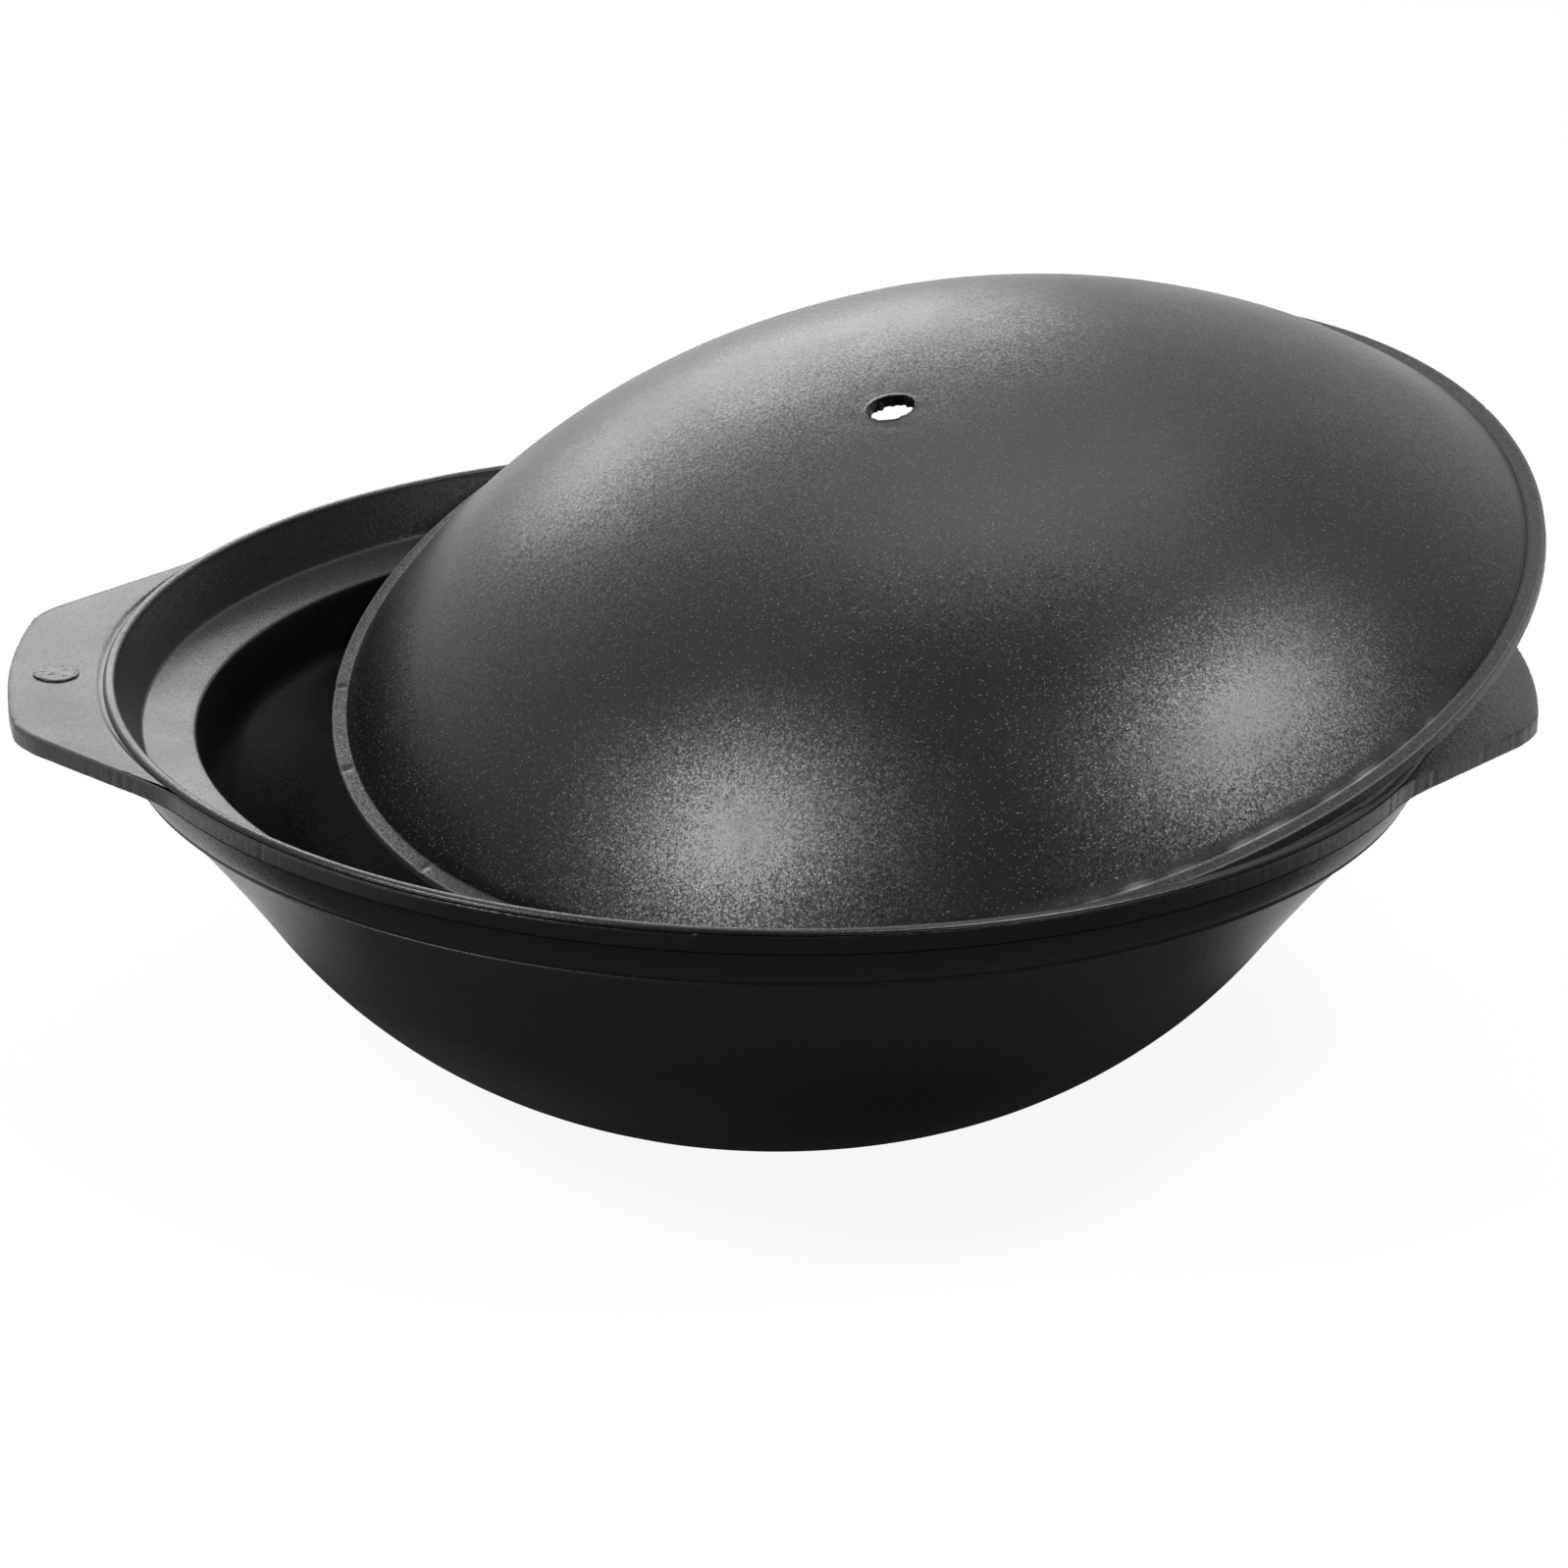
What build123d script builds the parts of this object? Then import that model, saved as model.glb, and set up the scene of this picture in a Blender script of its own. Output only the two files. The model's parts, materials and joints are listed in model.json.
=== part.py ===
from build123d import *
from math import cos, hypot, pi, radians, sin, sqrt
import os

# Round cast-aluminium cooking pot with two flat lugs, and its domed lid leaning in the mouth.
# Millimetres. Origin at the centre of the flat foot under the bowl, +Z up, lugs along X.

# Pot, sizes of the bowl
rim_radius = 180.0        # outside of the rim
rim_height = 115.0        # foot to the top of the lip
foot_radius = 48.0        # flat foot under the round bottom
wall = 4.5                # thickness of the bowl
bottom_rise = 6.0         # degrees, slope of the bottom where it leaves the foot
heel_radius = 100.0       # first joint of the outer curve: distance from the axis
heel_height = 18.0
side_in = 31.6            # second joint of the outer curve, inside and below the step
side_drop = 40.6

# Pot, sizes of the rim
lip_width = 3.3
bead_height = 1.0         # rounded lip above the top of the lugs
bead_setback = 0.15       # fine line between the bead and the filed edge
bead_inner_drop = 0.6     # the bead's inner side, below its top, where the rebate begins
rebate_depth = 14.0       # lip to the outside of the ledge
rebate_slope = 6.7        # how far the rebate's wall leans in over that depth
ledge_width = 14.6
ledge_fall = 2.0          # the ledge slopes down towards the bowl
ledge_edge = 0.8          # broken edge between the ledge and the bowl
ledge_inner_drop = 16.0   # upright wall under the ledge before it blends into the bowl
throat_narrowing = 2.0    # that wall leans in by this much
flare_foot_in = 5.8       # bottom of the flared wall, inside the rim's outside
flare_height = 10.6
flare_sag = 0.7
step_width = 1.6
step_height = 0.5

# Pot, sizes of the lugs
lug_thickness = 5.3
lug_reach = 25.0          # past the outside of the rim
lug_side_width = 127.0    # across the slanting sides, where they are measured
lug_side_inset = 24.6     # that place, back from the tip
lug_side_angle = 45.0
lug_tip_crown = 2.6
lug_corner = 34.0
lug_root = 45.0
lug_edge = 0.5            # filed break along the edges of the lugs and the rim
pad_radius = 6.2
pad_height = 0.5
pad_from_rim = 12.3
pad_offset = -3.4

# Lid, sizes
lid_clearance = 0.8       # flange to the rebate at the ledge
flange_width = 5.0
flange_thickness = 3.0
shoulder_step = 0.9       # small step from the flange up to the dome
shoulder_lean = 0.2
lid_wall = 3.5
lid_rise = 61.6           # flange's top to the top of the dome
crown_radius = 345.0
crown_reach = 63.0        # the flatter crown ends this far from the axis
knob_hole_radius = 6.6
lid_edge = 0.4            # broken edge round the flange

# Lid, how it leans: its low side is down in the bowl, its high side out over the rim
lid_lean = 15.65          # degrees from level
lid_bearing = 38.0        # degrees from +X towards +Y, the way its high side points
lid_slip = 57.1           # its centre, away from the pot's axis on that bearing
lid_gap = 0.2             # left between the lid and what it leans on

# Worked-out places on the pot
lug_top = rim_height - bead_height
lug_bottom = lug_top - lug_thickness
lip_inner = rim_radius - lip_width
ledge_outer = lip_inner - rebate_slope
ledge_inner = ledge_outer - ledge_width
ledge_high = rim_height - rebate_depth
ledge_low = ledge_high - ledge_fall
flare_foot = rim_radius - flare_foot_in
flare_bottom = lug_bottom - flare_height
step_radius = flare_foot - step_width
step_bottom = flare_bottom - step_height
bead_inner_height = rim_height - bead_inner_drop
bead_radius = lip_inner + lip_width / 2
lug_tip = rim_radius + lug_reach

# Worked-out places on the lid
flange_radius = ledge_outer - lid_clearance
shoulder_radius = flange_radius - flange_width
lean = radians(lid_lean)
bearing = radians(lid_bearing)
lid_axis = Vector(-sin(lean) * cos(bearing), -sin(lean) * sin(bearing), cos(lean))
lid_across = Vector(-sin(bearing), cos(bearing), 0)
lid_along = lid_across.cross(lid_axis)
lid_centre_x = lid_slip * cos(bearing)
lid_centre_y = lid_slip * sin(bearing)


def pot_top(radius):
    """Height of the pot's upper surface at a distance from its axis, from the ledge outwards."""
    if radius < ledge_inner or radius > rim_radius:
        return 0.0
    if radius < ledge_outer:
        return ledge_low + ledge_fall * (radius - ledge_inner) / ledge_width
    if radius < lip_inner:
        return ledge_high + rebate_depth * (radius - ledge_outer) / rebate_slope
    return rim_height


def resting_height():
    """Height of the lid's centre at which it just meets the pot: a corner of its edge on the ledge
    or the rebate's wall, or its flange on the top of the bead."""
    corners = ((flange_radius, flange_thickness - lid_edge), (flange_radius - lid_edge, flange_thickness))
    highest = 0.0
    steps = 1440
    for step in range(steps):
        turn = 2 * pi * step / steps
        for reach, depth in corners:
            edge = (lid_across * cos(turn) + lid_along * sin(turn)) * reach - lid_axis * depth
            radius = hypot(lid_centre_x + edge.X, lid_centre_y + edge.Y)
            highest = max(highest, pot_top(radius) - edge.Z)
        away = Vector(bead_radius * cos(turn) - lid_centre_x, bead_radius * sin(turn) - lid_centre_y)
        level = (-flange_thickness - away.dot(lid_axis)) / lid_axis.Z
        reach = (away + Vector(0, 0, level) + lid_axis * flange_thickness).length
        if shoulder_radius - lid_wall < reach < flange_radius:
            highest = max(highest, rim_height - level)
    return highest


lid_centre = Vector(lid_centre_x, lid_centre_y, resting_height() + lid_gap)


def inside_end(edge, depth):
    """Point a given depth inside the far end of an arc that runs outwards and up."""
    along = edge % 1
    return (edge @ 1) + Vector(-along.Y, along.X) * depth


def crown_point(radius, depth):
    """Point of the lid's crown at a distance from its axis, a given depth inside the dome."""
    return Vector(radius, lid_rise - crown_radius + sqrt((crown_radius - depth) ** 2 - radius ** 2))


def crown_slope(point):
    """Direction of the crown at one of its points, running outwards."""
    return (point.Y - lid_rise + crown_radius, -point.X)


# Pot: bowl, rebate for the lid, lip and lugs in one casting
with BuildPart() as pot:
    # rim band with both lugs, one flat plate whose edge is filed
    with BuildSketch(Plane.XY.offset(lug_bottom)) as rim_plan:
        Circle(rim_radius)
        with BuildLine() as lug_outline:
            side_x = lug_tip - lug_side_inset
            side_slope = Vector(-sin(radians(lug_side_angle)), cos(radians(lug_side_angle)))
            side_middle = Vector(side_x, lug_side_width / 2)
            side_to_corner = (lug_side_inset - lug_tip_crown) / sin(radians(lug_side_angle))
            root = side_middle + side_slope * (lug_reach + lug_side_inset)
            corner = side_middle - side_slope * side_to_corner
            Line((root.X, -root.Y), (corner.X, -corner.Y))
            ThreePointArc((corner.X, -corner.Y), (lug_tip, 0), (corner.X, corner.Y))
            Line((corner.X, corner.Y), (root.X, root.Y))
            Line((root.X, root.Y), (root.X, -root.Y))
        lug_face = make_face()
        mirror(lug_face, about=Plane.YZ)
        tips = rim_plan.vertices().filter_by(lambda v: hypot(v.X, v.Y) > rim_radius + 1)
        fillet(tips, lug_corner)
        on_rim = rim_plan.vertices().filter_by(lambda v: abs(hypot(v.X, v.Y) - rim_radius) < 0.01)
        roots = on_rim.filter_by(lambda v: abs(v.Y) > lug_side_width / 4)
        fillet(roots, lug_root)
    extrude(amount=lug_thickness)
    chamfer(pot.edges().group_by(Axis.Z)[-1] + pot.edges().group_by(Axis.Z)[0], lug_edge)

    # the small raised pad on one lug
    with BuildSketch(Plane.XY.offset(lug_top - lug_thickness / 2)):
        with Locations((-rim_radius - pad_from_rim, pad_offset)):
            Circle(pad_radius)
    extrude(amount=lug_thickness / 2 + pad_height)
    fillet(pot.faces().sort_by(Axis.Z)[-1].edges(), pad_height * 0.8)

    # body of revolution inside that plate: foot, three arcs of the bowl, step, flare and bead
    with BuildSketch(Plane.XZ) as body_section:
        with BuildLine():
            rise = radians(bottom_rise)
            off_foot = (cos(rise), sin(rise))
            Line((0, 0), (foot_radius, 0))
            bottom = TangentArc((foot_radius, 0), (heel_radius, heel_height), tangent=off_foot)
            side_point = (step_radius - side_in, step_bottom - side_drop)
            side = TangentArc(bottom @ 1, side_point, tangent=bottom % 1)
            upper = TangentArc(side @ 1, (step_radius, step_bottom), tangent=side % 1)
            Line(upper @ 1, (flare_foot, flare_bottom))
            flare_top = (rim_radius - bead_height, lug_bottom + lug_edge)
            SagittaArc((flare_foot, flare_bottom), flare_top, flare_sag)
            bead_foot = (rim_radius - bead_setback, lug_top)
            bead_top = (bead_radius, rim_height)
            bead_inner = (lip_inner, bead_inner_height)
            Polyline(flare_top, (flare_top[0], lug_top - lug_edge), bead_foot)
            ThreePointArc(bead_foot, bead_top, bead_inner)
            Polyline(bead_inner, (0, bead_inner_height), (0, 0))
        make_face()
    revolve(axis=Axis.Z)

    # what the mould's core leaves open: the rebate with its ledge, and the bowl
    with BuildSketch(Plane.XZ) as rebate_section:
        with BuildLine():
            Polyline((0, rim_height), (lip_inner, rim_height), bead_inner, (ledge_outer, ledge_high),
                     (ledge_inner, ledge_low), (0, ledge_low), (0, rim_height))
        make_face()
    revolve(axis=Axis.Z, mode=Mode.SUBTRACT)
    with BuildSketch(Plane.XZ) as bowl_section:
        with BuildLine():
            Line((0, wall), (foot_radius, wall))
            floor_arc = TangentArc((foot_radius, wall), inside_end(bottom, wall), tangent=off_foot)
            wall_arc = TangentArc(floor_arc @ 1, inside_end(side, wall), tangent=floor_arc % 1)
            top_arc = TangentArc(wall_arc @ 1, inside_end(upper, wall), tangent=wall_arc % 1)
            Polyline(top_arc @ 1, ((top_arc @ 1).X, rim_height), (0, rim_height), (0, wall))
        make_face()
        with BuildLine():
            throat_radius = ledge_inner - throat_narrowing
            Polyline((0, 0), (throat_radius, 0), (throat_radius, ledge_low - ledge_inner_drop),
                     (ledge_inner, ledge_low - ledge_edge), (ledge_inner + ledge_edge, ledge_low),
                     (ledge_inner + ledge_edge, rim_height), (0, rim_height), (0, 0))
        make_face(mode=Mode.INTERSECT)
    revolve(axis=Axis.Z, mode=Mode.SUBTRACT)

pot.part.label = "pot"

# Lid: domed casting with a flat flange and a hole for a knob, open underneath
with BuildPart() as lid:
    section_plane = Plane(origin=lid_centre, x_dir=lid_across, z_dir=lid_across.cross(lid_axis))
    with BuildSketch(section_plane) as lid_section:
        with BuildLine():
            inner_shoulder = (shoulder_radius - lid_wall, -flange_thickness)
            inner_reach = crown_reach * (crown_radius - lid_wall) / crown_radius
            hole_top = crown_point(knob_hole_radius, 0)
            hole_bottom = crown_point(knob_hole_radius, lid_wall)
            outer_turn = crown_point(crown_reach, 0)
            inner_turn = crown_point(inner_reach, lid_wall)
            shoulder = (shoulder_radius, shoulder_step)
            RadiusArc(hole_top, outer_turn, crown_radius)
            TangentArc(outer_turn, shoulder, tangent=crown_slope(outer_turn))
            Polyline(shoulder, (shoulder_radius + shoulder_lean, 0), (flange_radius, 0),
                     (flange_radius, -flange_thickness), inner_shoulder)
            TangentArc(inner_turn, inner_shoulder, tangent=crown_slope(inner_turn))
            RadiusArc(hole_bottom, inner_turn, crown_radius - lid_wall)
            Line(hole_bottom, hole_top)
        make_face()
        flange_corners = lid_section.vertices().filter_by(lambda v: abs(v.X - flange_radius) < 0.01)
        chamfer(flange_corners, lid_edge)
    revolve(axis=Axis(lid_centre, lid_axis))

lid.part.label = "lid"

os.makedirs("parts", exist_ok=True)
for piece in (pot, lid):
    export_step(piece.part, f"parts/{piece.part.label}.step")

print("lid centre", [round(v, 2) for v in lid_centre], "lid axis", [round(v, 5) for v in lid_axis])
print("flange radius", round(flange_radius, 2), "lug bottom", lug_bottom)
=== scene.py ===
# %% [markdown]
# # A cast aluminium cooking pot and its leaning lid
# The real thing is two sand castings: a round-bottomed pot whose flat lugs are cast in one with
# its rim, and a domed lid with a rough hole where a knob would go. Both have a satin black baked
# coating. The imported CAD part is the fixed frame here. It gives every place and size, and this
# lesson builds the finer surfaces round it: a rounded bead, filed edges, nicks, casting ripples
# and the sparkle of the coat.

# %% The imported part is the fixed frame
import json
import math

import bpy
import numpy as np
from mathutils import Matrix, Vector


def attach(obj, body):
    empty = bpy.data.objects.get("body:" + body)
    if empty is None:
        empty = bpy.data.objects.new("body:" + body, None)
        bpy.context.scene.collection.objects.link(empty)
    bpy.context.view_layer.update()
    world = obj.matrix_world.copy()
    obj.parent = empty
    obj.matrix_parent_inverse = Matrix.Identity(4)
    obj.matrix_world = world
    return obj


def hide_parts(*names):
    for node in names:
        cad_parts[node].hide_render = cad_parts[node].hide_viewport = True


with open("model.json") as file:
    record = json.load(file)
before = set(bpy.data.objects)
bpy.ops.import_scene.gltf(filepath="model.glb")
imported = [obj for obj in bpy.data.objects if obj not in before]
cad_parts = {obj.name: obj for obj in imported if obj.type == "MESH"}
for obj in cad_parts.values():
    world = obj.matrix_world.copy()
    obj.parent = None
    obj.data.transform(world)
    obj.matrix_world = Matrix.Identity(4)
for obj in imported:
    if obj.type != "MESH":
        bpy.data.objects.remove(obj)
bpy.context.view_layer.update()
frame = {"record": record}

# %% [markdown]
# ## Sizes
# All sizes below are millimetres, because that is how a founder measures a pot. They are the
# CAD part's own sizes, and one factor turns them into Blender's metres when a mesh is made. The
# lid's lean isn't repeated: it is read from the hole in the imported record, so the lid goes
# where the frame has it.

# %% Sizes of the pot and the lid, and where the lid lies
MM = 0.001
rim_radius, rim_height = 180.0, 115.0
foot_radius, wall = 48.0, 4.5
heel, side = (100.0, 18.0), (141.0, 57.0)
step_inner, step_outer = (172.6, 97.6), (174.2, 98.1)
flare_top_radius, flare_sag, flare_sunk = 179.0, 0.7, 0.4
lug_bottom, lug_top, lug_tip = 108.7, 114.0, 205.0
bead_outer, bead_inner, bead_drop = 179.6, 176.7, 0.6
ledge_outer, ledge_high = 170.0, 101.0
ledge_inner, ledge_low = 155.4, 99.0
throat_radius, throat_low = 153.4, 83.0

flange_radius, flange_thickness, flange_break = 169.14, 3.0, 0.45
shoulder_radius, shoulder_step, shoulder_fillet = 164.2, 0.9, 0.75
crown_radius, crown_reach, lid_rise, lid_wall = 345.0, 63.0, 61.6, 3.5
hole_radius = 6.6
inside_box = 0.06     # how far the lugs' tips stay inside the CAD's box
painted_line_level = 1.4    # the tag's value on the painted highlight at the dome's foot; 1 is filed

hole = next(m for m in frame["record"]["mounts"] if m["name"] == "lid_knob_hole")
lid_axis = Vector(hole["axis"]).normalized()
lid_across = Vector((-lid_axis.y, lid_axis.x, 0)).normalized() * -1
lid_along = lid_across.cross(lid_axis)
hole_middle_height = lid_rise - lid_wall / 2 - 0.06
lid_centre = Vector(hole["pos_m"]) / MM - lid_axis * hole_middle_height
print("lid centre in mm", [round(v, 2) for v in lid_centre],
      "axis", [round(v, 4) for v in lid_axis])

# %% [markdown]
# ## Camera
# The viewing angle was worked out from the object itself: its round rim looks like an ellipse,
# and the ellipse's shape gives the height of the eye. The lens is long, as in a product shot
# taken from a metre and a half away, so the pot has little perspective. A camera could be aimed
# with a constraint, but three plain angles and an offset say the same and stay put.

# %% Camera at the photograph's angle
turn, height, roll = math.radians(-3.5), math.radians(22.318), math.radians(-0.979)
back = Vector((math.sin(turn) * math.cos(height), -math.cos(turn) * math.cos(height),
               math.sin(height)))
right = Vector((math.cos(turn), math.sin(turn), 0))
up = back.cross(right)
level_axes = Matrix((right, up, back))
camera_axes = Matrix.Rotation(roll, 3, "Z") @ level_axes
offset = Vector((-2.764, 32.822, -1500.0))
eye = camera_axes.transposed() @ -offset + Vector((0, 0, rim_height))

image_width = 1598
focal_pixels = 5666.0
camera_data = bpy.data.cameras.new("camera")
camera_data.sensor_fit = "HORIZONTAL"
camera_data.sensor_width = 36.0
camera_data.lens = focal_pixels / image_width * camera_data.sensor_width
camera = bpy.data.objects.new("camera", camera_data)
bpy.context.scene.collection.objects.link(camera)
camera.matrix_world = Matrix.Translation(eye * MM) @ camera_axes.transposed().to_4x4()
bpy.context.scene.camera = camera
bpy.context.scene.view_settings.view_transform = "Standard"
print("lens", round(camera_data.lens, 1), "mm, eye", [round(v) for v in eye], "mm")

# %% [markdown]
# ## Small tools
# Three helpers carry the whole lesson. One turns a written sRGB colour into the linear numbers
# Blender works with. One adds a shader node with its settings and links. One gives smooth
# unevenness from a fixed seed, which is what keeps a casting from looking like a computer's
# perfect surface.

# %% Colour, nodes and unevenness
def colour(hex_code):
    """Linear colour, with alpha, from a written sRGB colour such as '#1a1a1a'."""
    values = [int(hex_code[i:i + 2], 16) / 255 for i in (1, 3, 5)]
    return [v / 12.92 if v <= 0.04045 else ((v + 0.055) / 1.055) ** 2.4 for v in values] + [1.0]


def add(tree, kind, settings=None, **inputs):
    """Adds a node. Settings are its own properties; an input is a value or a node's socket."""
    node = tree.nodes.new("ShaderNode" + kind)
    for name, value in (settings or {}).items():
        setattr(node, name, value)
    for name, value in inputs.items():
        numbered = name[0] == "i" and name[1:].isdigit()
        socket = node.inputs[int(name[1:]) if numbered else name.replace("_", " ")]
        if isinstance(value, bpy.types.NodeSocket):
            tree.links.new(value, socket)
        else:
            socket.default_value = value
    return node


def uneven(points, size, seed):
    """Smooth unevenness between about -1 and 1 over points, with bumps about `size` mm apart."""
    dice = np.random.default_rng(seed)
    waves = 20
    total = np.zeros(points.shape[:-1])
    for _ in range(waves):
        direction = dice.normal(size=points.shape[-1])
        direction *= 2 * math.pi / (size * dice.uniform(0.7, 1.5) * np.linalg.norm(direction))
        total += np.sin(points @ direction + dice.uniform(0, 2 * math.pi))
    return total / math.sqrt(2 * waves)


print("near-black coat is", [round(v, 4) for v in colour("#0c0c0c")[:3]])

# %% [markdown]
# ## Profiles
# Both castings are turned forms, so each starts as a profile from the axis outwards. A lathe
# modifier could spin it, but then every turn is the same. Here the profile is turned in code
# into a grid of points, one row for each point of the profile and one column for each step
# round, so that later steps can file, nick and roughen it anywhere.

# %% Helpers for profiles and turned grids
def tangent_arc(start, direction, end, count):
    """Points of the arc that leaves start in a direction and meets end, and its last direction."""
    start, end = np.array(start, float), np.array(end, float)
    direction = np.array(direction, float) / np.linalg.norm(direction)
    side_way = np.array((-direction[1], direction[0]))
    chord = end - start
    radius = chord @ chord / (2 * (chord @ side_way))
    centre = start + side_way * radius
    begin = math.atan2(*(start - centre)[::-1])
    sweep = 2 * math.atan2(chord @ side_way, chord @ direction)
    angles = begin + np.linspace(0, sweep, count)
    points = centre + abs(radius) * np.stack((np.cos(angles), np.sin(angles)), 1)
    turning = np.array(((math.cos(sweep), -math.sin(sweep)), (math.sin(sweep), math.cos(sweep))))
    turned = turning @ direction
    return points, turned


def offset_inward(points, depth):
    """The same curve a given depth inside, on the left of the way it runs."""
    along = np.gradient(points, axis=0)
    along /= np.linalg.norm(along, axis=1)[:, None]
    return points + np.stack((-along[:, 1], along[:, 0]), 1) * depth


def softened(corners, spacing):
    """Polyline with rounded corners. Each corner is (radius, height, rounding)."""
    places = np.array([c[:2] for c in corners], float)
    points = [places[0]]
    for i in range(1, len(places) - 1):
        before, here, after = places[i - 1], places[i], places[i + 1]
        into = (before - here) / np.linalg.norm(before - here)
        out = (after - here) / np.linalg.norm(after - here)
        cut = corners[i][2]
        for t in (0, 0.25, 0.5, 0.75, 1):
            points.append(here + into * cut * (1 - t) ** 2 + out * cut * t ** 2)
    points.append(places[-1])
    filled = [points[0]]
    for a, b in zip(points, points[1:]):
        pieces = max(1, math.ceil(np.linalg.norm(b - a) / spacing))
        filled += [a + (b - a) * k / pieces for k in range(1, pieces + 1)]
    return np.array(filled)


def turned_mesh(name, grid, closed, tags=None):
    """Mesh of a grid of points, profile by steps round, in mm. An open profile ends in poles."""
    rows, steps = grid.shape[:2]
    points = grid.reshape(-1, 3)
    first = np.arange(rows if closed else rows - 1)[:, None] * steps
    nxt = (np.arange(1, (rows if closed else rows - 1) + 1)[:, None] % rows) * steps
    here, there = np.arange(steps)[None], (np.arange(steps)[None] + 1) % steps
    quads = np.stack((first + here, first + there, nxt + there, nxt + here), -1).reshape(-1, 4)
    faces = quads.tolist()
    if not closed:
        poles = np.stack((grid[0].mean(0), grid[-1].mean(0)))
        points = np.concatenate((points, poles))
        low, high, last = len(points) - 2, len(points) - 1, (rows - 1) * steps
        faces += [(low, (k + 1) % steps, k) for k in range(steps)]
        faces += [(high, last + k, last + (k + 1) % steps) for k in range(steps)]
    mesh = bpy.data.meshes.new(name)
    mesh.from_pydata((points * MM).tolist(), [], faces)
    for tag, values in (tags or {}).items():
        layer = mesh.attributes.new(tag, "FLOAT", "POINT")
        flat = np.zeros(len(points))
        flat[:rows * steps] = values.reshape(-1)
        layer.data.foreach_set("value", flat.astype(np.float32))
    mesh.shade_smooth()
    piece = bpy.data.objects.new(name, mesh)
    bpy.context.scene.collection.objects.link(piece)
    print(name, len(points), "points,", len(faces), "faces")
    return piece


# %% [markdown]
# ## Outline of the rim
# The rim and both lugs are one flat plate. Seen from above, its edge is the rim's circle, a
# hollow curve into each lug's slanting side, a rounded corner and a nearly straight tip. The
# outline is asked for by angle: how far from the axis is the edge when one looks that way?

# %% Outline of the rim and lugs
lug_side_line = 243.9 / math.sqrt(2)   # distance from the axis to the line of a lug's side
lug_root, lug_corner, lug_tip_crown = 45.0, 34.0, 2.6


def ray_meets_circle(angle, centre, radius, far):
    """Distance from the axis to a circle along a direction, to its near or its far side."""
    along = centre[0] * np.cos(angle) + centre[1] * np.sin(angle)
    across = centre[0] * np.sin(angle) - centre[1] * np.cos(angle)
    half = np.sqrt(np.maximum(radius ** 2 - across ** 2, 0))
    return along + half if far else along - half


def rim_outline(angle):
    """Distance from the axis to the edge of the rim or lug, for an array of angles."""
    folded = np.abs(np.mod(angle + math.pi / 2, math.pi) - math.pi / 2)
    slant = np.array((1, 1)) / math.sqrt(2)
    sideways = np.array((-1, 1)) / math.sqrt(2)
    out = lug_side_line + lug_root
    root_centre = slant * out - sideways * math.sqrt((rim_radius + lug_root) ** 2 - out ** 2)
    corner_y = lug_side_line * math.sqrt(2) - (lug_tip - lug_tip_crown)
    tip_circle = (corner_y ** 2 + lug_tip_crown ** 2) / (2 * lug_tip_crown)
    tip_centre = np.array((lug_tip - tip_circle, 0))
    inner = lug_side_line - lug_corner
    down = tip_centre @ slant - inner
    corner_centre = slant * inner + sideways * (
        tip_centre @ sideways - math.sqrt((tip_circle - lug_corner) ** 2 - down ** 2))
    root_end = root_centre - slant * lug_root
    corner_end = corner_centre + slant * lug_corner
    tip_way = (corner_centre - tip_centre) / np.linalg.norm(corner_centre - tip_centre)
    tip_end = tip_centre + tip_way * tip_circle
    marks = [math.atan2(p[1], p[0]) for p in (tip_end, corner_end, root_end, root_centre)]
    side_line = lug_side_line / np.maximum(np.cos(folded - math.pi / 4), 0.1)
    return np.select(
        [folded < marks[0], folded < marks[1], folded < marks[2], folded < marks[3]],
        [ray_meets_circle(folded, tip_centre, tip_circle, True),
         ray_meets_circle(folded, corner_centre, lug_corner, True),
         side_line,
         ray_meets_circle(folded, root_centre, lug_root, False)],
        rim_radius)


steps = 1440
angles = np.arange(steps) * 2 * math.pi / steps
edge = np.minimum(rim_outline(angles), lug_tip - inside_box)
print("rim outline from", round(float(edge.min()), 2), "to", round(float(edge.max()), 2), "mm")

# %% [markdown]
# ## The pot's profile
# Outside, three arcs that run into each other make the round bottom. Above them come a fine
# proud edge where the bowl's mould ended, and a flared wall up to the plate of the rim. Inside
# are the rounded bead, the leaning rebate wall, the ledge that the lid sits on, the throat and
# the bowl. A spline could draw all this, but arcs and straight runs are what the pattern maker
# turned, and they give each part its own real size.

# %% Profile of the pot's outside
rise = math.radians(6)
bottom, way = tangent_arc((foot_radius, 0), (math.cos(rise), math.sin(rise)), heel, 16)
belly, way = tangent_arc(heel, way, side, 22)
shoulder, way = tangent_arc(side, way, step_inner, 22)
outer_bowl = np.concatenate((bottom, belly[1:], shoulder[1:]))
foot = np.array([(r, 0.0) for r in (1.5, 12, 24, 36, 44, 47)])

proud_edge = np.array([(0.30, 0.0), (0.34, 0.10), (0.28, 0.22), (0.0, 0.52)]) + step_outer
flare_top = np.array((flare_top_radius, lug_bottom + flare_sunk))
flare_chord = flare_top - step_outer
flare_side = np.array((flare_chord[1], -flare_chord[0])) / np.linalg.norm(flare_chord)
flare_t = np.linspace(0.1, 1, 10)[1:, None]
flare = step_outer + flare_chord * flare_t + flare_side * flare_sag * 4 * flare_t * (1 - flare_t)
outside = np.concatenate((foot, outer_bowl, proud_edge, flare))
print("outside of the pot:", len(outside), "points")

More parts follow.
